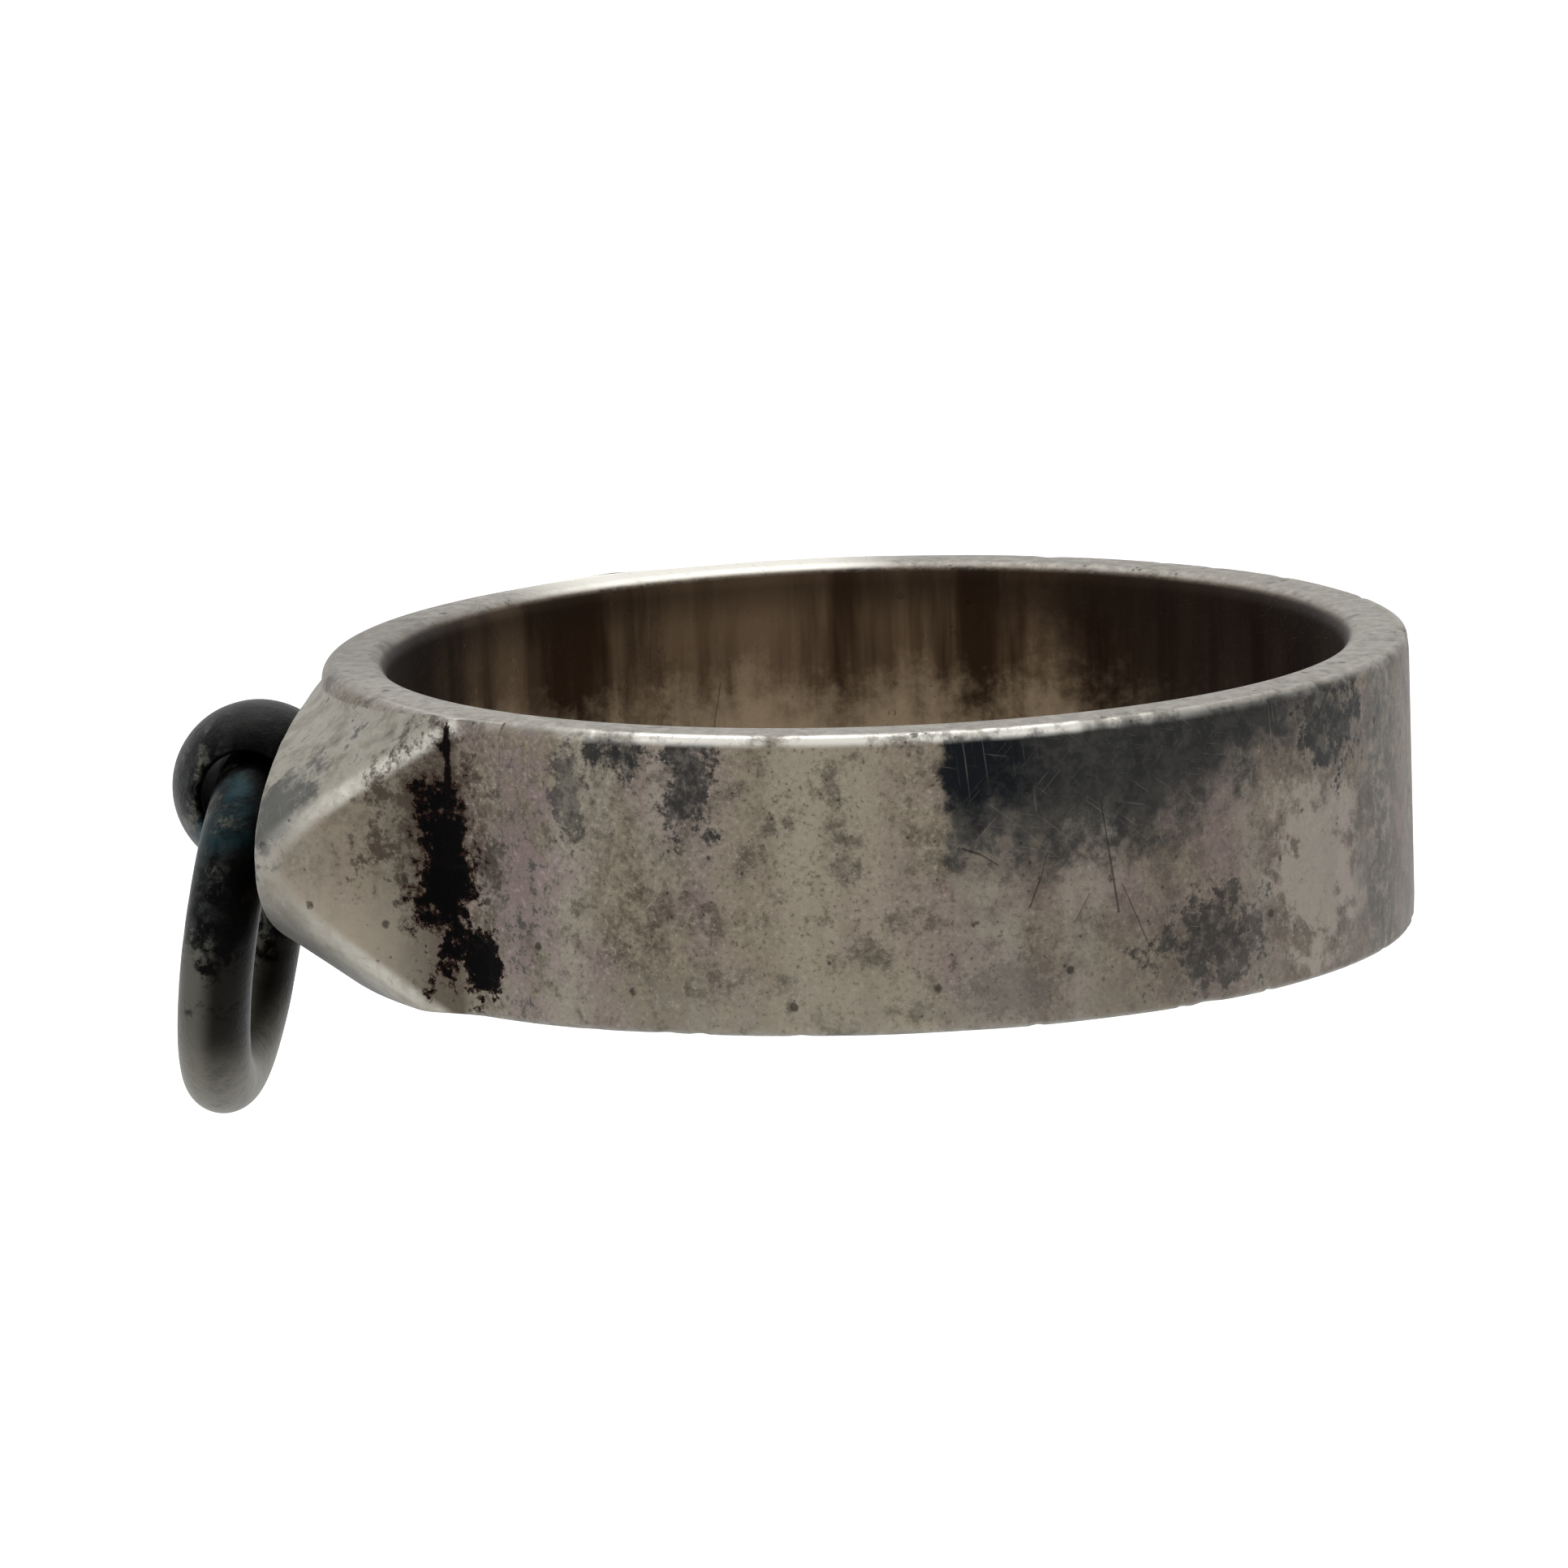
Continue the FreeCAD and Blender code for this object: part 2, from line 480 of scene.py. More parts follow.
@dataclass(frozen=True)
class BandFinish:
    """Worn silver of the band and the head: mottled tarnish with painted reflection bands, rims with worn
    polish and painted highlights, a brown bore.
    """

    band: "Band"
    head: "Head"
    relief: float = 0.019
    grain_relief: float = 0.005
    scratches: tuple[Scratch, ...] = (
        Scratch((-56.4, 1.3), (-55.6, 0.3), 0.010),
        Scratch((-55.6, 0.3), (-54.7, -0.8), 0.016),
        Scratch((-54.2, -0.3), (-51.3, -1.5), 0.007),
        Scratch((-64.4, -0.55), (-63.1, 0.0), 0.012),
        Scratch((-63.1, 0.0), (-62.4, 0.42), 0.007),
        Scratch((-71.2, 0.62), (-69.4, 0.50), 0.018),
        Scratch((-69.4, 0.50), (-67.6, 0.28), 0.010),
        Scratch((-59.6, -0.9), (-57.9, -0.4), 0.006),
        Scratch((24.0, 1.2), (31.0, -0.6), 0.011),
        Scratch((77.0, -1.7), (84.0, -0.4), 0.012),
        Scratch((118.0, 0.6), (121.0, -1.9), 0.010),
    )
    tarnish: tuple[Tarnish, ...] = (
        Tarnish((-99.0, 1.9), (2.6, 1.0), 0.75),
        Tarnish((-107.5, 2.45), (3.6, 0.45), 0.8),
        Tarnish((-43.5, -1.65), (7.5, 0.85), 0.55),
        Tarnish((-112.5, 1.6), (1.8, 0.9), 0.5),
        Tarnish((-66.5, -2.0), (5.0, 0.5), 0.2),
        Tarnish((-24.5, 2.1), (5.5, 0.9), 0.8),
        Tarnish((48.0, -0.7), (17.0, 1.4), 0.8),
        Tarnish((96.0, 1.6), (14.0, 1.1), 0.7),
    )

    @property
    def foot(self) -> float:
        """Return the angle of the shoulders' feet, from the side opposite the head."""
        return 180.0 - self.head.foot_angle

    def make(self, name: str) -> bpy.types.Material:
        """Build the material.

        Args:
            name: The material's name.

        Returns:
            The finished material.
        """
        tree = ShaderTree(bpy.data.materials.new(name))
        skin = Skin(tree, self.band, self.foot)
        grain, deep, pits = self._scoring(skin), self._deep_scratches(skin), self._pits(skin)
        halo, core = self._dark_patches(skin)
        crust, stain = self._crust(skin)
        rim, edge = self._rim(skin)
        bore = skin.reach.ramp(self.band.bore_radius + 0.17, self.band.bore_radius + 0.06)
        colour = tree.layers(
            self._head_colour(skin, self._outside_colour(skin)),
            (halo * skin.off_head, SILVER.smoke),
            (core * skin.off_head, SILVER.slate),
            (stain * 0.85, SILVER.stain),
            (crust.ramp(0.0, 0.42) * 0.92, SILVER.rust),
            (crust.ramp(0.20, 0.80), SILVER.black),
            (rim, self._rim_colour(skin)),
            # the rims' outer edges: worn polish with a painted highlight over it
            (edge, SILVER.polish_and_highlight),
            (grain * 0.20 * (1.0 - crust), SILVER.worn),
            ((deep * 0.62).at_least(pits * 0.75), SILVER.scar),
            (bore, self._bore_colour(skin)),
        )
        dark = core.at_least(crust)
        rough = 0.44 + skin.spot * 0.16 - edge * 0.2 - grain * 0.05 + dark * 0.06
        height = skin.spot * 0.6 - pits * 1.2 - deep * 1.5 - crust * 0.5 + skin.fine * 0.3
        coarse = tree.bump(height, self.relief * MM)
        return tree.finish(colour, rough, 1.0 - bore * 0.04, tree.bump(grain, self.grain_relief * MM, coarse))

    def _outside_colour(self, skin: Skin) -> Value:
        """Return the mottled silver of the band's outside, with painted reflection bands on it.

        Args:
            skin: The shaded point.

        Returns:
            The colour.
        """
        angle, z, cloud, spot, fine, reflection_bands = skin.angle, skin.z, skin.cloud, skin.spot, skin.fine, skin.reflection_bands
        # painted reflection: the stretch that faces the front is paler, in upright bands
        front_reflection = angle.ramp(-97.5, -95.5) * angle.ramp(-72.4, -75.5) * (0.35 + reflection_bands.ramp(0.40, 0.62) * 0.5)
        low = z.ramp(-1.1, -2.6) * spot.ramp(0.60, 0.40) * skin.off_head
        seep = skin.patch((-119.8, -0.4), (5.4, 2.3))
        east = angle.ramp(-73.0, -71.5) * angle.ramp(25.0, -5.0)
        # painted reflection: darker upright bands on the side opposite the head, where the band turns away
        # from the front
        end = angle.ramp(-34.0, -12.0) * angle.ramp(30.0, 5.0) * reflection_bands.ramp(0.38, 0.60)
        end = end * spot.ramp(0.62, 0.42)
        return skin.tree.layers(
            SILVER.warm,
            (spot.ramp(0.36, 0.60), SILVER.grey),
            (skin.broad.ramp(0.44, 0.60) * 0.60, SILVER.lilac),
            # painted reflection: pale upright bands
            (reflection_bands.ramp(0.46, 0.62) * 0.58, SILVER.worn),
            (front_reflection, SILVER.front_reflection),
            (cloud.ramp(0.50, 0.64) * 0.68, SILVER.umber),
            (fine.ramp(0.53, 0.68) * 0.55, SILVER.speck),
            (fine.ramp(0.47, 0.32) * 0.68, SILVER.umber),
            (low * 0.45, SILVER.worn),
            (seep * 0.62, SILVER.lilac),
            (seep * spot.ramp(0.50, 0.57) * 0.9, SILVER.dusk),
            (seep * spot.ramp(0.44, 0.36) * 0.7, SILVER.blush),
            (east * (0.20 + cloud.ramp(0.42, 0.60) * 0.3), SILVER.muted),
            (skin.patch((-27.0, -0.6), (7.5, 1.7)) * 0.62, SILVER.cream),
            (end * 0.8, SILVER.dusk),
        )

    def _scoring(self, skin: Skin) -> Value:
        """Return fine scratches from years of wear, in four directions.

        Args:
            skin: The shaded point.

        Returns:
            The mask.
        """
        layers = ((38, 0.9, 19.0), (-47, 0.7, 22.0), (12, 1.1, 25.0), (84, 0.6, 16.0))
        total: Any = 0.0
        for turn, along, across in layers:
            streak = skin.tree.noise(skin.tree.stretch(skin.flat, turn, (along, across, 1.0)), 1.0, 2.0)
            total = streak.ramp(0.66, 0.76) + total
        return total.at_most(1.0)

    def _deep_scratches(self, skin: Skin) -> Value:
        """Return the masks of the single deep scratches, joined.

        Args:
            skin: The shaded point.

        Returns:
            The mask.
        """
        per_degree = math.radians(1) * self.band.radius
        arc, z = skin.arc, skin.z
        total: Any = 0.0
        for scratch in self.scratches:
            ax, az = scratch.start[0] * per_degree, scratch.start[1]
            bx, bz = scratch.end[0] * per_degree - ax, scratch.end[1] - az
            length = bx * bx + bz * bz
            share = ((arc - ax) * (bx / length) + (z - az) * (bz / length)).at_least(0.0).at_most(1.0)
            off_x, off_z = arc - ax - share * bx, z - az - share * bz
            away = (off_x * off_x + off_z * off_z).root()
            total = away.ramp(scratch.width * 1.6, scratch.width * 0.5) + total
        return total.at_most(1.0) * skin.fine.ramp(0.30, 0.46)

    def _pits(self, skin: Skin) -> Value:
        """Return small corrosion pits, in clusters.

        Args:
            skin: The shaded point.

        Returns:
            The mask.
        """
        small = skin.tree.cells(skin.flat, 1.25).ramp(0.13, 0.07) * skin.cloud.ramp(0.47, 0.55)
        tiny = skin.tree.cells(skin.flat, 4.5).ramp(0.17, 0.08) * skin.cloud.ramp(0.50, 0.62)
        return small.at_least(tiny * 0.8)

    def _dark_patches(self, skin: Skin) -> tuple[Value, Value]:
        """Return the tarnish on the outside.

        Args:
            skin: The shaded point.

        Returns:
            The masks of its soft halo and its dark core.
        """
        angle, z, ragged, spot = skin.angle, skin.z, skin.ragged, skin.spot
        floor = (angle + 51.0).at_least(0.0) * 0.085 + 0.45
        side = (angle + ragged * 1.5).ramp(-73.4, -72.2) * angle.ramp(-16.0, -30.0)
        halo = (z + ragged * 1.2 - floor).ramp(-0.60, 0.55) * side
        core = (z + ragged * 1.6 - floor - 0.20).ramp(-0.25, 0.9) * side
        west = angle.ramp(-60.0, -70.0) * (z + ragged).ramp(0.9, 1.9)
        core = core * (0.36 + west * 0.60 + spot.ramp(0.60, 0.42) * 0.30).at_most(1.0)
        for place in self.tarnish:
            patch = skin.patch(place.middle, place.size)
            halo = halo.at_least(patch * min(1.0, place.weight + 0.1))
            core = core.at_least(patch.ramp(0.25, 1.0) * spot.ramp(0.58, 0.44) * place.weight * 0.8)
        return (halo * 0.85).at_most(1.0), core.at_most(1.0)

    def _crust(self, skin: Skin) -> tuple[Value, Value]:
        """Return the black crust at the foot of each shoulder.

        Args:
            skin: The shaded point.

        Returns:
            The masks of the crust and of the stain round it.
        """
        turned, foot = 0.0 - abs(skin.angle), -self.foot
        main = skin.patch((foot - 3.0, -0.05), (3.0, 1.45), turned)
        lower = skin.patch((foot + 1.2, -1.75), (2.2, 0.95), turned)
        crack = skin.patch((foot - 2.4, 1.75), (0.42, 1.0), turned, skin.ragged * 0.6)
        stain = skin.patch((foot - 3.2, 0.55), (6.0, 1.9), turned)
        branch = skin.patch((foot - 5.6, 1.15), (3.2, 0.30), turned)
        return main.at_least(lower * 0.85).at_least(crack * 0.72), stain.at_least(branch)

    def _head_colour(self, skin: Skin, under: Value) -> Value:
        """Lay the colours of the head over the band's, with a painted highlight along the bevel's ridge.

        Args:
            skin: The shaded point.
            under: The band's colour.

        Returns:
            The colour.
        """
        z, cloud, spot, on_head, head = skin.z, skin.cloud, skin.spot, skin.on_head, self.head
        wide, turned = abs(skin.y), abs(skin.angle)
        depth = skin.x + head.face_height
        along = skin.y / (depth * head.spread_length + head.face_half_length)
        up = (z + head.drop) / (depth * head.spread_width + head.face_half_width)
        inside = along * along + up * up
        bevel = inside.ramp(0.90, 0.97) * on_head
        # painted highlight along the bevel's upper ridge, weaker lower down
        highlight_line = inside.ramp(0.895, 0.945) * inside.ramp(1.0, 0.972) * on_head * wide.ramp(6.9, 7.8)
        highlight_line = highlight_line * (0.55 + z.ramp(-0.6, 0.4) * 0.45)
        facet = skin.tree.layers(
            under,
            (0.30 + cloud * 0.3, SILVER.facet),
            (z.ramp(0.2, -1.5) * turned.ramp(self.foot + 4.0, self.foot + 9.0) * 0.65, SILVER.facet_low),
            (turned.ramp(self.foot + 14.0, self.foot + 3.0) * 0.66, SILVER.umber),
        )
        mixed = cloud * 0.65 + spot * 0.35
        edge = (mixed - 0.5) * 2.6
        blotch = skin.patch((-145.5, 0.75), (3.6, 0.85), ragged=edge)
        blotch = blotch.at_least(skin.patch((150.0, -0.6), (5.0, 0.7), ragged=edge))
        plain = skin.tree.layers(
            SILVER.bevel,
            (mixed.ramp(0.40, 0.58), SILVER.bevel_pale),
            (z.ramp(0.3, -1.6) * wide.ramp(8.0, 6.4) * 0.85, SILVER.shadow),
            (blotch.at_least(mixed.ramp(0.55, 0.61)) * 0.8, SILVER.blotch),
        )
        ridge_highlight = highlight_line * (0.45 + spot.ramp(0.62, 0.40) * 0.45)
        return skin.tree.layers(under, (on_head, facet), (bevel, plain), (ridge_highlight, SILVER.ridge_highlight))

    def _rim(self, skin: Skin) -> tuple[Value, Value]:
        """Return where the rims are.

        Args:
            skin: The shaded point.

        Returns:
            The masks of their flats and of the bright line along their outer edges: worn polish, with a
            painted highlight that is strongest on the stretch facing the front and towards the upper rim.
        """
        band, angle, height = self.band, skin.angle, abs(skin.z)
        top = height.ramp(band.half_width - 0.14, band.half_width - 0.04) * skin.off_head
        corner = skin.reach - band.radius + height - band.half_width
        line = corner.ramp(-0.27, -0.12) * corner.ramp(0.02, -0.05) * skin.off_head
        along = (0.25 + skin.cloud.ramp(0.62, 0.40)).at_most(1.0)
        # painted highlight: the edge line is brightened on the stretch that faces the front and fades towards
        # the lower rim
        bright = 0.16 + angle.ramp(-116.0, -108.0) * angle.ramp(-40.0, -62.0) * 0.84
        return top, line * along * bright * skin.z.ramp(-3.2, 1.0)

    def _rim_colour(self, skin: Skin) -> Value:
        """Return the rims' grey, with a painted highlight in one place behind the head's far shoulder.

        Args:
            skin: The shaded point.

        Returns:
            The colour.
        """
        # painted highlight on the upper rim behind the head's far shoulder
        rim_highlight = skin.angle.ramp(92.0, 106.0) * skin.angle.ramp(150.0, 130.0) * skin.z.ramp(0.0, 1.0)
        return skin.tree.layers(
            SILVER.rim_dull,
            (skin.spot.ramp(0.60, 0.38) * 0.8, SILVER.rim),
            (skin.cloud.ramp(0.54, 0.66) * 0.55, SILVER.dusk),
            (abs(skin.angle).ramp(146.0, 172.0) * 0.35, SILVER.dusk),
            (rim_highlight * 0.85, SILVER.polish_and_highlight),
        )

    def _bore_colour(self, skin: Skin) -> Value:
        """Return the brown bore, with upright bands and a black stretch.

        Args:
            skin: The shaded point.

        Returns:
            The colour.
        """
        tree, angle, z, cloud = skin.tree, skin.angle, skin.z, skin.cloud
        bands = tree.noise(tree.stretch(skin.flat, 0, (0.42, 0.05, 0.0)), 1.0, 5.0, 0.62)
        glow = (cloud * 0.5 + bands * 0.5 - z * 0.13).ramp(0.36, 0.62)
        shade = (angle + (cloud - 0.5) * 30.0 - z * 5.0).ramp(80.0, 58.0) * angle.ramp(-20.0, 12.0)
        return tree.layers(
            SILVER.bore_dark,
            (bands.ramp(0.38, 0.62), SILVER.brown),
            (glow * 0.80, SILVER.glow),
            (shade * 0.80, SILVER.bore_black),
            (z.ramp(1.6, 2.5) * 0.6, SILVER.bore_lip),
            (abs(angle).ramp(150.0, 172.0) * 0.85, SILVER.bore_end),
        )


@dataclass(frozen=True)
class DarkFinish:
    """Oxidised silver of the bead and the hoop: black and teal, worn grey where it rubs, with painted shade
    on the side that faces the head.
    """

    wear_low: float
    wear_high: float
    seed: float
    teal_spot: Colour
    teal_size: float
    lean: float = 0.146
    relief: float = 0.028

    def make(self, name: str) -> bpy.types.Material:
        """Build the material.

        Args:
            name: The material's name.

        Returns:
            The finished material.
        """
        tree = ShaderTree(bpy.data.materials.new(name))
        place = tree.place_mm()
        x, y, z = tree.split(place)
        shifted = tree.node("ShaderNodeVectorMath", {"operation": "ADD"}, {0: place, 1: (self.seed,) * 3})
        cloud = tree.noise(shifted, 0.95, 7.0, 0.66)
        spot = tree.noise(shifted, 2.8, 7.0, 0.7)
        fine = tree.noise(shifted, 13.0, 4.0, 0.6)
        off = (x - self.teal_spot[0], y - self.teal_spot[1], z - self.teal_spot[2])
        away = (off[0] * off[0] + off[1] * off[1] + off[2] * off[2]).root()
        teal = (away + (cloud - 0.5) * 2.2).ramp(self.teal_size, self.teal_size * 0.3)
        # painted shade: the side that faces the head is darkened to black, except low down
        shaded = (x - z * self.lean - self.teal_spot[0]).ramp(-0.05, 0.40) * z.ramp(-5.6, -4.2)
        low_wear = z.ramp(self.wear_high, self.wear_low)
        wear = (spot * 0.5 + cloud * 0.5 + low_wear * 0.22).ramp(0.53, 0.62)
        colour = tree.layers(
            SILVER.black,
            (spot.ramp(0.42, 0.64), SILVER.graphite),
            (teal * 0.9, SILVER.teal),
            (wear * 0.85, SILVER.dull),
            (low_wear.ramp(0.66, 1.0) * spot.ramp(0.34, 0.56), SILVER.rubbed),
            (fine.ramp(0.58, 0.74) * 0.30, SILVER.dust),
            (shaded * (0.88 - teal * 0.7), SILVER.black),
        )
        normal = tree.bump(spot + fine * 0.25, self.relief * MM)
        return tree.finish(colour, 0.36 + spot * 0.18, 0.97 + wear * 0.03, normal)


# ---- mesh helpers


def new_object(name: str, data: Any) -> bpy.types.Object:
    """Make an object and link it to the scene.

    Args:
        name: The object's name.
        data: Its mesh, camera or lamp.

    Returns:
        The new object.
    """
    made = bpy.data.objects.new(name, data)
    bpy.context.scene.collection.objects.link(made)
    return made


def smooth_mesh(name: str, points: np.ndarray, faces: list[tuple[int, ...]]) -> bpy.types.Object:
    """Make a smooth-shaded object from points in millimetres.

    Args:
        name: The object's name.
        points: One row of x, y, z for each point.
        faces: Corner numbers of each face, counter-clockwise from outside.

    Returns:
        The new object, linked to the scene.
    """
    mesh = bpy.data.meshes.new(name)
    mesh.from_pydata((points * MM).tolist(), [], faces)
    mesh.shade_smooth()
    return new_object(name, mesh)


def ring_faces(rows: int, columns: int, wrap_rows: bool, wrap_columns: bool) -> list[tuple[int, ...]]:
    """Return the quads of a grid of points, row after row.

    Args:
        rows: How many rows of points there are.
        columns: How many points a row has.
        wrap_rows: Join the last row to the first.
        wrap_columns: Join each row's last point to its first.

    Returns:
        Corner numbers of the quads.
    """
    faces = []
    for i in range(rows if wrap_rows else rows - 1):
        for j in range(columns if wrap_columns else columns - 1):
            below, right = (i + 1) % rows, (j + 1) % columns
            faces.append((i * columns + j, below * columns + j, below * columns + right, i * columns + right))
    return faces


def arc_points(centre: Pair, radius: float, start: float, stop: float, count: int) -> list[Pair]:
    """Return points along an arc.

    Args:
        centre: The arc's centre.
        radius: Its radius.
        start: Its first angle in degrees.
        stop: Its last angle in degrees.
        count: How many points it has.

    Returns:
        The points in order.
    """
    angles = np.radians(np.linspace(start, stop, count))
    return [(centre[0] + radius * math.cos(a), centre[1] + radius * math.sin(a)) for a in angles]


def waves(values: np.ndarray, count: int, lowest: int, seed: int) -> np.ndarray:
    """Return a smooth random curve between -1 and 1 that repeats every turn.

    Args:
        values: Angles in radians.
        count: How many waves are added.
        lowest: Fewest periods in a turn.
        seed: Seed of the waves' phases and sizes.

    Returns:
        The curve's value at each angle.
    """
    draw = np.random.default_rng(seed)
    total = np.zeros_like(values)
    for k in range(count):
        total += draw.uniform(0.4, 1.0) * np.sin((lowest + k) * values + draw.uniform(0, 2 * math.pi))
    return total / count


def soft_least(values: list[np.ndarray], blend: Any) -> np.ndarray:
    """Return the least of several heights, with its creases rounded inwards.

    Args:
        values: The heights.
        blend: How far apart two heights can be and still round their crease.

    Returns:
        The least height at each place.
    """
    least = values[0]
    for other in values[1:]:
        share = np.clip(0.5 + 0.5 * (other - least) / blend, 0.0, 1.0)
        least = other * (1 - share) + least * share - blend * share * (1 - share)
    return least


def points_mm(node: str) -> np.ndarray:
    """Return the points of a CAD node in millimetres."""
    return np.array([tuple(vertex.co) for vertex in frame["nodes"][node].data.vertices]) / MM


def span_mm(node: str) -> tuple[Vector, Vector]:
    """Return a CAD node's lowest and highest corners in millimetres."""
    low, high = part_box(node)
    return Vector(low) / MM, Vector(high) / MM


# ---- sub-assemblies


@dataclass
class Band:
    """The plain flat band, with worn rims and small nicks in its edges."""

    bore_radius: float
    radius: float
    half_width: float
    bore_round: float = 0.4
    rim_round: float = 0.13
    steps: int = 640
    nick_count: int = 34
    nick_width: Pair = (0.07, 0.22)
    nick_depth: Pair = (0.015, 0.06)
    rim_wear: float = 0.035
    rim_wear_reach: float = 0.22
    skin_wear: float = 0.012
    slant: float = 0.7
    head_span: float = 78.0
    head_fade: float = 16.0
    head_round: float = 0.34

    def near_head(self, turn: np.ndarray) -> np.ndarray:
        """Return how much of the head's filed edge a section has.

        Args:
            turn: Angle from the head's middle, in radians.

        Returns:
            The share, from 0 to 1.
        """
        share = np.clip((self.head_span - np.degrees(np.abs(turn))) / self.head_fade, 0.0, 1.0)
        return share * share * (3 - 2 * share)

    def outside(self, turn: np.ndarray, z: np.ndarray) -> np.ndarray:
        """Return the unworn outer radius near the head.

        Args:
            turn: Angle from the head's middle, in radians.
            z: Height along the bore.

        Returns:
            The radius at each place.
        """
        corner = np.where(z > 0, self.corner(turn), self.rim_round)
        over = np.clip(np.abs(z) - (self.half_width - corner), 0.0, corner * 0.995)
        return self.radius - corner + np.sqrt(corner ** 2 - over ** 2)

    def corner(self, turn: np.ndarray) -> np.ndarray:
        """Return the radius of the upper outer edge at an angle from the head."""
        return self.rim_round + (self.head_round - self.rim_round) * self.near_head(turn)

    def profile(self, corner: float) -> np.ndarray:
        """Return a section's closed outline as rows of radius and height.

        Args:
            corner: Radius of the upper outer edge.

        Returns:
            The outline, starting below on the outside.
        """
        out, rim = self.radius - self.rim_round, self.half_width - self.rim_round
        top_out, top_rim = self.radius - corner, self.half_width - corner
        inn, lip = self.bore_radius + self.bore_round, self.half_width - self.bore_round
        near_top = top_rim * 0.82
        points = [(self.radius, z) for z in np.linspace(-rim, near_top, 14)[1:]]
        points += [(self.radius, z) for z in np.linspace(near_top, top_rim, 6)[1:-1]]
        points += arc_points((top_out, top_rim), corner, 0, 90, 10)
        points += [(r, self.half_width) for r in np.linspace(top_out, inn, 7)[1:-1]]
        points += arc_points((inn, lip), self.bore_round, 90, 180, 9)
        points += [(self.bore_radius, z) for z in np.linspace(lip, -lip, 9)[1:-1]]
        points += arc_points((inn, -lip), self.bore_round, 180, 270, 9)
        points += [(r, -self.half_width) for r in np.linspace(inn, out, 6)[1:-1]]
        points += arc_points((out, -rim), self.rim_round, -90, 0, 7)
        return np.array(points)

    def build(self) -> bpy.types.Object:
        """Build the band's mesh.

        Returns:
            The band.
        """
        turn = np.linspace(0, 2 * math.pi, self.steps, endpoint=False)
        from_head = np.angle(np.exp(1j * (turn - math.pi)))
        outline = np.array([self.profile(float(corner)) for corner in self.corner(from_head)])
        radius, height = outline[:, :, 0], outline[:, :, 1]
        self._wear(turn, self.near_head(from_head)[:, None], radius, height)
        angle = turn[:, None]
        points = np.stack([radius * np.cos(angle), radius * np.sin(angle), height], axis=2)
        faces = ring_faces(self.steps, outline.shape[1], True, True)
        return smooth_mesh("band_skin", points.reshape(-1, 3), faces)

    def _wear(
        self, turn: np.ndarray, near_head: np.ndarray, radius: np.ndarray, height: np.ndarray
    ) -> None:
        """Round the rims unevenly and cut nicks into them, always inwards.

        Args:
            turn: Angle of each section.
            near_head: How far each section belongs to the head, which has no nicks.
            radius: Radius of each point, changed in place.
            height: Height of each point, changed in place.
        """
        draw = np.random.default_rng(7)
        plain = 1 - near_head
        for side in Side:
            corner = np.hypot(radius - self.radius, height - side.value * self.half_width)
            near = np.exp(-(corner / self.rim_wear_reach) ** 2)
            worn = self.rim_wear * (1 + waves(turn, 24, 3, 11 + side.value))[:, None]
            depth = worn + np.zeros_like(radius)
            for _ in range(self.nick_count):
                middle = draw.uniform(-math.pi, math.pi)
                width = draw.uniform(*self.nick_width) / self.radius
                off = np.angle(np.exp(1j * (turn - middle)))
                depth += draw.uniform(*self.nick_depth) * np.exp(-(off / width) ** 2)[:, None]
            radius -= self.slant * depth * near * plain
            height -= self.slant * side.value * depth * near * plain
        outside = radius > self.radius - self.bore_round
        radius -= np.where(outside, self.skin_wear * (1 + waves(turn, 9, 2, 5))[:, None] * plain, 0.0)


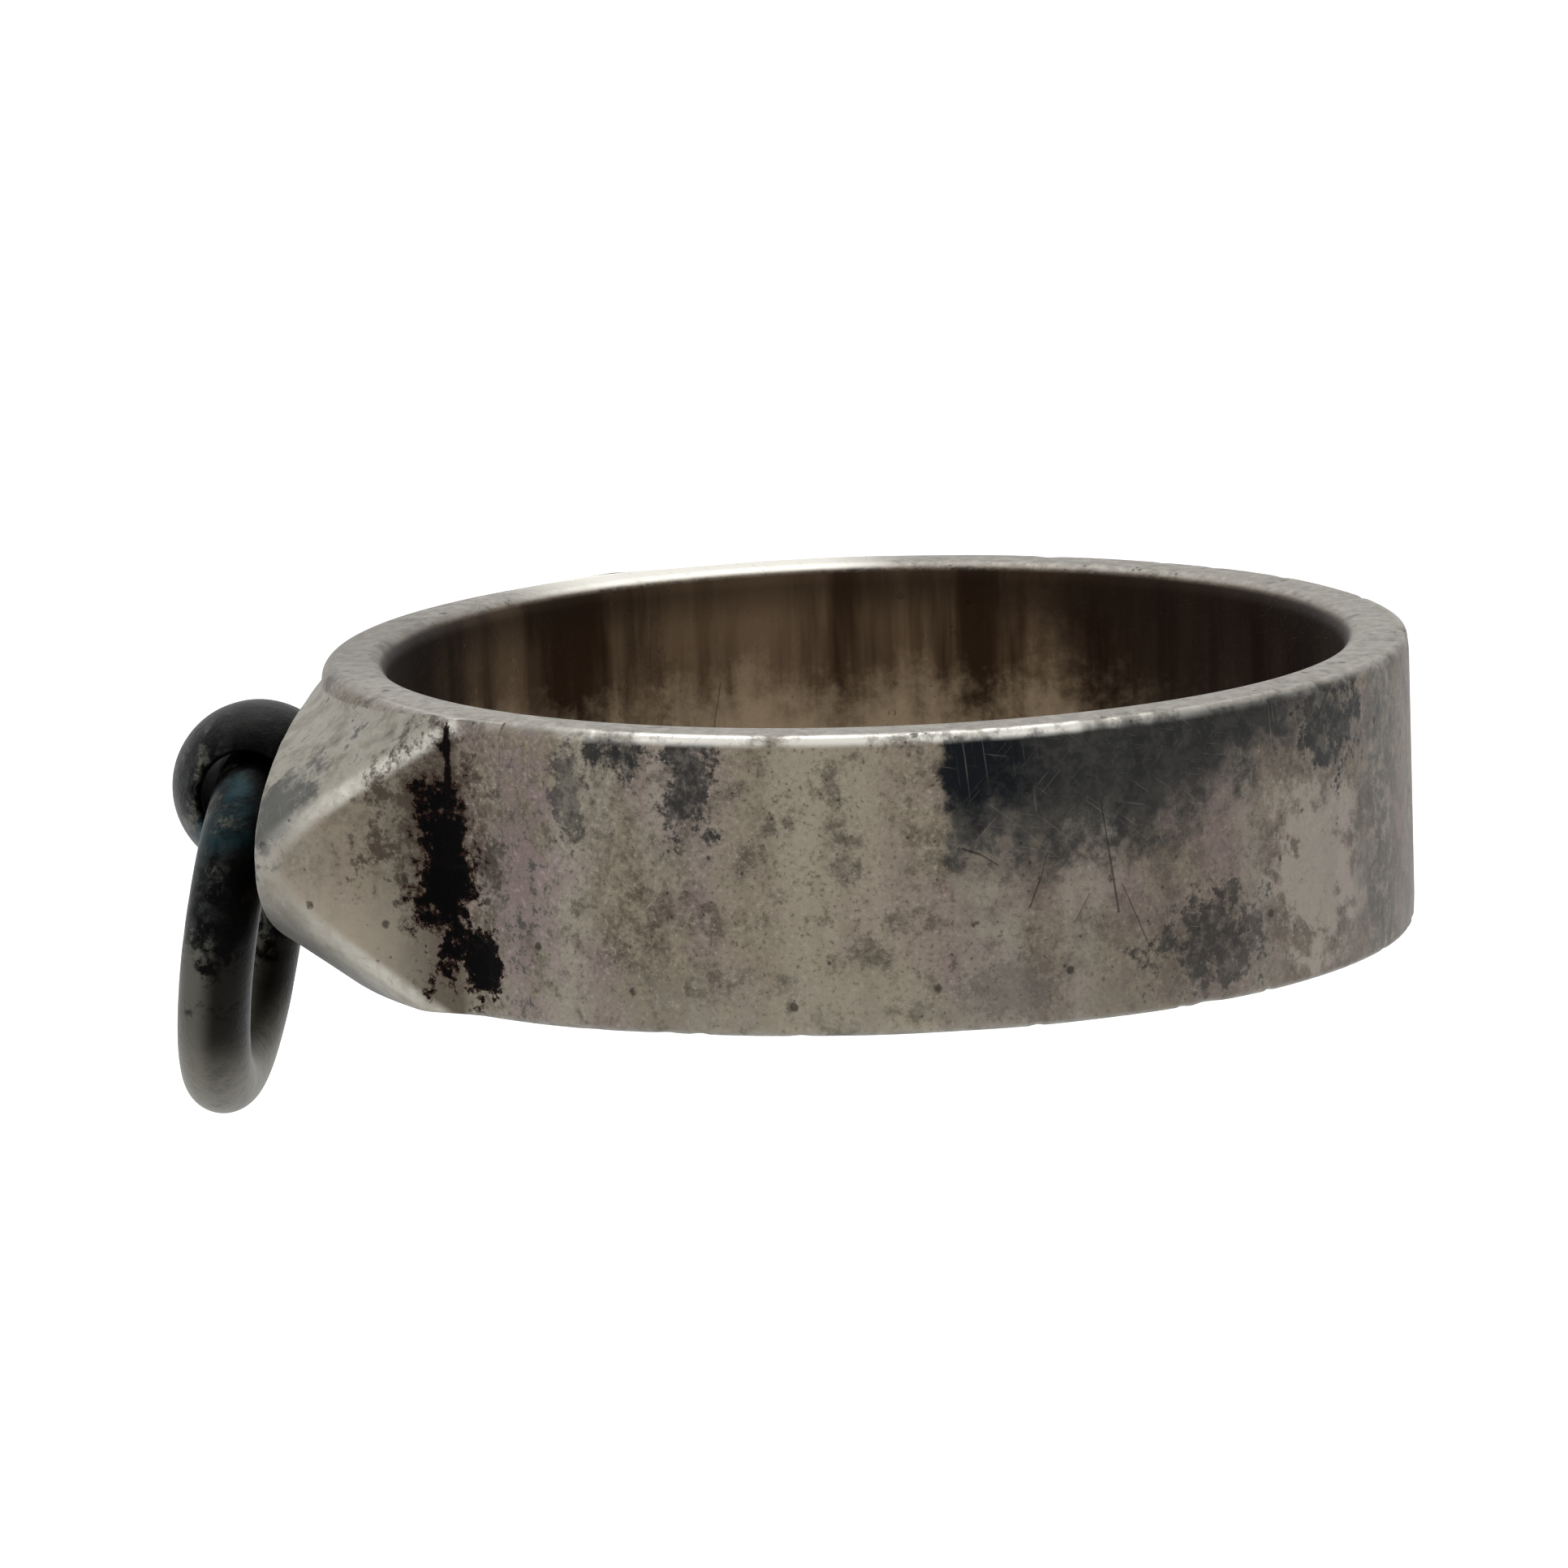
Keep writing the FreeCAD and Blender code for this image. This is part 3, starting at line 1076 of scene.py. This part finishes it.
@dataclass
class Head:
    """The saddle block: a flat face, two flat shoulders and a bevel all round."""

    band: Band
    face_height: float
    bead_height: float
    bead_radius: float
    face_half_length: float = 7.1
    foot_angle: float = 54.5
    face_half_width: float = 2.35
    drop: float = 0.22
    spread_length: float = 0.8
    spread_width: float = 0.65
    seam: float = 0.03
    spread: float = 4.2
    sharp_round: float = 0.13
    blunt_round: float = 0.34
    blunt_from: float = 51.0
    blunt_fade: float = 12.0
    solder_round: float = 0.20
    margin: float = 0.3
    edge_gap: float = 0.03
    sunk: float = 0.014
    proud: float = 0.004
    shell: float = 0.03
    wear: float = 0.014
    search: Pair = (7.0, 14.0)
    halvings: int = 40
    columns: int = 400
    rows: int = 118

    def bevel_half(self, height: np.ndarray) -> tuple[np.ndarray, np.ndarray]:
        """Measure the oval that the bevel cuts at a height.

        Args:
            height: Height above the bore's axis.

        Returns:
            The oval's half length and half width.
        """
        depth = self.face_height - height
        length = self.face_half_length + self.spread_length * depth
        return length, self.face_half_width + self.spread_width * depth

    def build(self) -> bpy.types.Object:
        """Build the head's mesh as a closed shell on the band.

        Returns:
            The head.
        """
        reach_out = math.radians(self.foot_angle + self.spread)
        turn = np.linspace(-reach_out, reach_out, self.columns)[:, None]
        along, height = self.band.radius * np.sin(turn), self.band.radius * np.cos(turn)
        long_half, short_half = self.bevel_half(height)
        reach = short_half * np.sqrt(np.clip(1 - (along / long_half) ** 2, 0, 1)) + self.margin
        edge = self.band.half_width - self.edge_gap
        low = np.maximum(-edge, -self.drop - reach)
        high = np.minimum(edge, -self.drop + reach)
        share = (1 - np.cos(np.linspace(0, math.pi, self.rows)))[None, :] / 2
        z = low + (high - low) * (0.5 * share + 0.5 * np.linspace(0, 1, self.rows)[None, :])
        level = self.band.outside(turn, z)
        fillet = self.solder_round * np.where(z > 0, 2.0, 1.0)
        outer = -soft_least([-self.surface(turn, z), -(level - self.sunk)], fillet)
        outer = np.minimum(outer, np.maximum(self._dish(turn, z), level + self.proud))
        outer_points = self._points(outer, turn, z)
        inner_points = self._points(level - self.shell, turn, z)
        count = self.columns * self.rows
        faces = [f[::-1] for f in ring_faces(self.columns, self.rows, False, False)]
        faces += [tuple(i + count for i in f[::-1]) for f in faces]
        border = self._border()
        faces += [(b, a, a + count, b + count) for a, b in zip(border, border[1:] + border[:1])]
        return smooth_mesh("head_block", np.vstack([outer_points, inner_points]), faces)

    def surface(self, turn: np.ndarray, z: np.ndarray) -> np.ndarray:
        """Return the outside's distance from the bore's axis.

        Args:
            turn: Angle from the head's middle, in radians.
            z: Height along the bore.

        Returns:
            The distance for each angle and height.
        """
        cos, sin = np.cos(turn), np.abs(np.sin(turn))
        face = self.face_height / cos + 0 * z
        foot = math.radians(self.foot_angle)
        foot_height = self.band.radius * math.cos(foot)
        foot_along = self.band.radius * math.sin(foot)
        across, down = foot_along - self.face_half_length, self.face_height - foot_height
        level = across * self.face_height + down * self.face_half_length
        shoulder = level / (across * cos + down * sin) + 0 * z
        low, high = (np.full_like(face, bound) for bound in self.search)
        for _ in range(self.halvings):
            middle = (low + high) / 2
            long_half, short_half = self.bevel_half(middle * cos)
            inside = (middle * sin / long_half) ** 2 + ((z + self.drop) / short_half) ** 2 < 1
            low, high = np.where(inside, middle, low), np.where(inside, high, middle)
        worn = self.wear * (1 + waves(turn * 5 + z * 0.9, 12, 2, 23))
        share = np.clip((self.blunt_from - np.degrees(np.abs(turn))) / self.blunt_fade, 0.0, 1.0) + 0 * z
        blunt = self.sharp_round + (self.blunt_round - self.sharp_round) * share
        skin = soft_least([shoulder, low], blunt)
        return soft_least([face, skin], self.sharp_round) - worn

    def _dish(self, turn: np.ndarray, z: np.ndarray) -> np.ndarray:
        """Measure the dish under the bead.

        Args:
            turn: Angle from the head's middle, in radians.
            z: Height along the bore.

        Returns:
            How far out the dish lets the head reach.
        """
        radius = self.bead_radius + self.seam
        across = self.bead_height * np.cos(turn)
        inside = radius ** 2 - self.bead_height ** 2 - z ** 2 + across ** 2
        return np.where(inside > 0, across - np.sqrt(np.clip(inside, 0, None)), 99.0)

    def _points(self, radius: np.ndarray, turn: np.ndarray, z: np.ndarray) -> np.ndarray:
        """Return points at a radius, an angle from the head's middle and a height."""
        rows = [-radius * np.cos(turn), radius * np.sin(turn), z + 0 * radius]
        return np.stack(rows, axis=2).reshape(-1, 3)

    def _border(self) -> list[int]:
        """Walk round the grid's border.

        Returns:
            The numbers of the border's points in order.
        """
        rows, columns = self.rows, self.columns
        left = list(range(rows))
        top = [i * rows + rows - 1 for i in range(1, columns)]
        right = [(columns - 1) * rows + j for j in range(rows - 2, -1, -1)]
        bottom = [i * rows for i in range(columns - 2, 0, -1)]
        return left + top + right + bottom


@dataclass
class Bead:
    """The drilled ball: a worn sphere with a through hole and rounded mouths."""

    height: float
    radius: float
    hole_radius: float
    mouth_radius: float = 0.88
    mouth_round: float = 0.12
    taper: float = 0.35
    wear: float = 0.0045
    hole_skin: float = 0.04
    steps: int = 240

    def profile(self) -> np.ndarray:
        """Draw the bead's section.

        Returns:
            Rows of distance from the hole's axis and place along it.
        """
        gap = self.radius - self.mouth_round
        side = self.mouth_radius + self.mouth_round
        mouth = math.sqrt(gap ** 2 - side ** 2)
        lean = math.degrees(math.atan2(mouth, side))
        points = arc_points((0, 0), self.radius, -lean, lean, 90)
        points += arc_points((side, mouth), self.mouth_round, lean, 180, 14)[1:]
        points += [(self.hole_radius, y) for y in np.linspace(mouth - self.taper, self.taper - mouth, 14)]
        points += arc_points((side, -mouth), self.mouth_round, 180, 360 - lean, 14)[:-1]
        return np.array(points)

    def build(self) -> bpy.types.Object:
        """Build the bead's mesh.

        Returns:
            The bead.
        """
        profile = self.profile()
        turn = np.linspace(0, 2 * math.pi, self.steps, endpoint=False)[:, None]
        from_axis, along = profile[None, :, 0], profile[None, :, 1]
        rough = waves(turn + along * 0.8, 9, 2, 31) + waves(turn - along * 1.7, 7, 3, 32)
        size = 1 - self.wear * (1 + 0.5 * rough) * (from_axis > self.hole_radius + self.hole_skin)
        x = -self.height + size * from_axis * np.cos(turn)
        z = size * from_axis * np.sin(turn)
        points = np.stack([x, along * size, z], axis=2).reshape(-1, 3)
        faces = [f[::-1] for f in ring_faces(self.steps, len(profile), True, True)]
        return smooth_mesh("bead_ball", points, faces)


@dataclass
class Hoop:
    """The closed wire hoop, swept round a circle by Geometry Nodes."""

    centre: Vector
    axis: Vector
    radius: float
    wire_radius: float
    dent: float = 0.02
    dents_per_mm: float = 0.9
    path_steps: int = 320
    wire_steps: int = 72

    @classmethod
    def from_frame(cls, node: str) -> "Hoop":
        """Read the hoop's size and pose from its CAD node.

        Args:
            node: The CAD node's name.

        Returns:
            A hoop of the same size in the same place.
        """
        points = points_mm(node)
        middle = (points.min(axis=0) + points.max(axis=0)) / 2
        _, _, directions = np.linalg.svd(points - points.mean(axis=0), full_matrices=False)
        axis = directions[2] * np.sign(directions[2][0])
        off = points - middle
        middle = middle + axis * ((off @ axis).max() + (off @ axis).min()) / 2
        off = points - middle
        wire = (off @ axis).max()
        flat = np.linalg.norm(off - np.outer(off @ axis, axis), axis=1)
        return cls(Vector(middle), Vector(axis), float(flat.max() - wire), float(wire))

    def sizes(self) -> dict[str, float]:
        """Return the sweep's named sizes in metres."""
        named = {"Hoop Radius": self.radius, "Wire Radius": self.wire_radius, "Dent Depth": self.dent}
        return {name: value * MM for name, value in named.items()}

    def tree(self, material: bpy.types.Material) -> bpy.types.NodeTree:
        """Build the node tree that sweeps the wire round the hoop.

        Args:
            material: The wire's material.

        Returns:
            The tree, with the hoop's sizes as named inputs.
        """
        tree = bpy.data.node_groups.new("hoop_sweep", "GeometryNodeTree")
        for name in self.sizes():
            tree.interface.new_socket(name, in_out="INPUT", socket_type="NodeSocketFloat")
        tree.interface.new_socket("Hoop", in_out="OUTPUT", socket_type="NodeSocketGeometry")
        kinds = {
            "sizes": "NodeGroupInput",
            "path": "GeometryNodeCurvePrimitiveCircle",
            "section": "GeometryNodeCurvePrimitiveCircle",
            "sweep": "GeometryNodeCurveToMesh",
            "noise": "ShaderNodeTexNoise",
            "depth": "ShaderNodeMath",
            "inward": "ShaderNodeMath",
            "normal": "GeometryNodeInputNormal",
            "offset": "ShaderNodeVectorMath",
            "move": "GeometryNodeSetPosition",
            "shade": "GeometryNodeSetShadeSmooth",
            "real": "GeometryNodeRealizeInstances",
            "dress": "GeometryNodeSetMaterial",
            "end": "NodeGroupOutput",
        }
        nodes = {label: tree.nodes.new(kind) for label, kind in kinds.items()}
        for label, operation in (("depth", "MULTIPLY"), ("inward", "MULTIPLY"), ("offset", "SCALE")):
            nodes[label].operation = operation
        for label, socket, value in (
            ("path", "Resolution", self.path_steps),
            ("section", "Resolution", self.wire_steps),
            ("noise", "Scale", self.dents_per_mm / MM),
            ("noise", "Detail", 2.0),
            ("inward", 1, -1.0),
            ("dress", "Material", material),
        ):
            nodes[label].inputs[socket].default_value = value
        for source, output, target, socket in (
            ("sizes", "Hoop Radius", "path", "Radius"),
            ("sizes", "Wire Radius", "section", "Radius"),
            ("path", "Curve", "sweep", "Curve"),
            ("section", "Curve", "sweep", "Profile Curve"),
            ("noise", "Fac", "depth", 0),
            ("sizes", "Dent Depth", "depth", 1),
            ("depth", 0, "inward", 0),
            ("normal", 0, "offset", 0),
            ("inward", 0, "offset", "Scale"),
            ("sweep", "Mesh", "move", "Geometry"),
            ("offset", 0, "move", "Offset"),
            ("move", "Geometry", "shade", "Geometry"),
            ("shade", "Geometry", "real", "Geometry"),
            ("real", "Geometry", "dress", "Geometry"),
            ("dress", "Geometry", "end", "Hoop"),
        ):
            tree.links.new(nodes[source].outputs[output], nodes[target].inputs[socket])
        return tree

    def build(self, material: bpy.types.Material) -> bpy.types.Object:
        """Sweep the hoop and put its mesh in place.

        Args:
            material: The wire's material.

        Returns:
            The hoop as a plain mesh.
        """
        holder = new_object("hoop_sweep", bpy.data.meshes.new("hoop_sweep"))
        modifier = holder.modifiers.new("sweep", "NODES")
        modifier.node_group = self.tree(material)
        for item in modifier.node_group.interface.items_tree:
            if item.in_out == "INPUT":
                modifier[item.identifier] = self.sizes()[item.name]
        swept = holder.evaluated_get(bpy.context.evaluated_depsgraph_get())
        mesh = bpy.data.meshes.new_from_object(swept)
        bpy.data.objects.remove(holder)
        mesh.name = "hoop_wire"
        turn = Vector((0, 0, 1)).rotation_difference(self.axis).to_matrix().to_4x4()
        mesh.transform(Matrix.Translation(self.centre * MM) @ turn)
        return new_object("hoop_wire", mesh)


# ---- the studio


@dataclass(frozen=True)
class Lamp:
    """One soft round lamp that points at the ring, in millimetres and watts."""

    name: str
    place: Colour
    size: float
    power: float


@dataclass(frozen=True)
class Studio:
    """A pale floor, soft lamps, a white world and the camera."""

    azimuth: float = 10.0
    elevation: float = 10.26
    roll: float = -1.85
    distance: float = 216.7
    aim_right: float = 1.626
    aim_up: float = 0.024
    lens: float = 260.9
    sensor: float = 36.0
    clip_start: float = 0.01
    floor_gap: float = 7.0
    floor_half: float = 1500.0
    paper: Colour = (0.86, 0.86, 0.86)
    paper_glow: Colour = (0.56, 0.56, 0.56)
    white: Colour = (1.0, 1.0, 1.0)
    fill: Colour = (0.95, 0.97, 1.0)
    fill_strength: float = 0.55
    lamps: tuple[Lamp, ...] = (
        Lamp("over", (-20.0, 60.0, 130.0), 90.0, 0.07),
        Lamp("front_left", (-150.0, -90.0, 60.0), 110.0, 0.03),
        Lamp("front_right", (120.0, -150.0, 70.0), 120.0, 0.03),
    )

    def place_camera(self) -> None:
        """Put the camera on its side of the ring."""
        camera = new_object("camera", bpy.data.cameras.new("camera"))
        camera.data.lens = self.lens
        camera.data.sensor_width = self.sensor
        camera.data.clip_start = self.clip_start
        turn = Matrix.Rotation(math.radians(self.azimuth), 4, "Z")
        turn = turn @ Matrix.Rotation(math.radians(90 - self.elevation), 4, "X")
        turn = turn @ Matrix.Rotation(math.radians(self.roll), 4, "Z")
        back = Vector((-self.aim_right, self.aim_up, self.distance)) * MM
        camera.matrix_world = turn @ Matrix.Translation(back)
        bpy.context.scene.camera = camera

    def hang_lamps(self) -> None:
        """Add the lamps."""
        for lamp in self.lamps:
            data = bpy.data.lights.new(lamp.name, "AREA")
            data.energy = lamp.power
            data.size = lamp.size * MM
            data.shape = "DISK"
            holder = new_object(lamp.name, data)
            holder.location = Vector(lamp.place) * MM
            holder.rotation_euler = (-Vector(lamp.place)).to_track_quat("-Z", "Y").to_euler()

    def light_world(self) -> None:
        """Light the ring from all round at a plain level, before a white background."""
        world = bpy.data.worlds.new("studio")
        bpy.context.scene.world = world
        tree = ShaderTree(world)
        inputs = {"Color": rgba(self.fill), "Strength": self.fill_strength}
        dim = tree.node("ShaderNodeBackground", {}, inputs)
        bright = tree.node("ShaderNodeBackground", {}, {"Color": rgba(self.white)})
        picked = tree.node("ShaderNodeMixShader", {}, {0: tree.seen_rays(), 1: dim, 2: bright})
        tree.close(picked, "ShaderNodeOutputWorld")

    def lay_floor(self, lowest: float) -> None:
        """Lay the pale floor a little below the hanging ring.

        Args:
            lowest: Height of the ring's lowest point, in metres.
        """
        half = self.floor_half
        corners = np.array([(-half, -half, 0), (half, -half, 0), (half, half, 0), (-half, half, 0)])
        corners[:, 2] = lowest / MM - self.floor_gap
        floor = smooth_mesh("floor", corners, [(0, 1, 2, 3)])
        tree = ShaderTree(bpy.data.materials.new("floor_paper"))
        paper = tree.node("ShaderNodeBsdfDiffuse", {}, {"Color": rgba(self.paper)})
        glow = {"Color": rgba(self.paper_glow), "Strength": tree.seen_rays()}
        inputs = {0: paper, 1: tree.node("ShaderNodeEmission", {}, glow)}
        tree.close(tree.node("ShaderNodeAddShader", {}, inputs), "ShaderNodeOutputMaterial")
        floor.data.materials.append(tree.owner)
        floor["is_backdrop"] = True


# ---- assembly


def put_on(piece: bpy.types.Object, body: str, node: str) -> None:
    """Make a piece ride on a body and stand for a CAD node.

    Args:
        piece: The piece.
        body: The body it rides on.
        node: The CAD node it stands for.
    """
    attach(piece, body)
    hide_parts(node)
    LOG.info("%s rides on %s and stands for %s", piece.name, body, node)


def hole_radius_of(node: str, height: float, within: float = 1.2) -> float:
    """Measure the bead's cross hole on its CAD node.

    Args:
        node: The CAD node's name.
        height: Distance of the hole's axis from the bore's, in millimetres.
        within: How far from the bead's middle to look, in millimetres.

    Returns:
        The hole's radius.
    """
    points = points_mm(node)
    from_axis = np.hypot(points[:, 0] + height, points[:, 2])
    return float(from_axis[np.abs(points[:, 1]) < within].min())


def main() -> None:
    """Build the ring's pieces, dress them and set the studio."""
    logging.basicConfig(level=logging.INFO, format="%(name)s: %(message)s")
    cad_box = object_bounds()
    _, band_high = span_mm("band")
    head_low, _ = span_mm("head")
    bead_low, bead_high = span_mm("bead")
    bore = frame["record"]["mounts"][0]["dims"]["r_mm"]
    bead_height = -frame["joints"][0]["pos_m"][0] / MM
    bead_radius = (bead_high.z - bead_low.z) / 2

    studio = Studio()
    studio.place_camera()
    studio.hang_lamps()
    studio.light_world()
    studio.lay_floor(cad_box[0][2])

    band = Band(bore, band_high.y, band_high.z)
    head = Head(band, -head_low.x, bead_height, bead_radius)
    bead = Bead(bead_height, bead_radius, hole_radius_of("bead", bead_height))
    hoop = Hoop.from_frame("hoop")
    silver = BandFinish(band, head).make("worn_silver")
    bead_finish = DarkFinish(
        wear_low=-3.4, wear_high=-1.4, seed=3.0, teal_spot=(-12.6, -1.2, -0.9), teal_size=0.9
    ).make("dark_bead_silver")
    hoop_finish = DarkFinish(
        wear_low=-6.0, wear_high=-0.9, seed=11.0, teal_spot=(-12.0, -1.9, -0.6), teal_size=1.3
    ).make("dark_hoop_silver")

    for part, slot, node, material in (
        (band, "worn_silver", "band", silver),
        (head, "worn_silver", "head", silver),
        (bead, "dark_silver", "bead", bead_finish),
    ):
        piece = part.build()
        piece.data.materials.append(material)
        put_on(piece, "ring", node)
    put_on(hoop.build(hoop_finish), "hoop", "hoop")
    peg = frame["nodes"]["bead_peg"]
    peg.data.materials.clear()
    peg.data.materials.append(bead_finish)

    view = bpy.context.scene.view_settings
    view.view_transform = "Standard"
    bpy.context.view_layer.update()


if __name__ == "__main__":
    main()
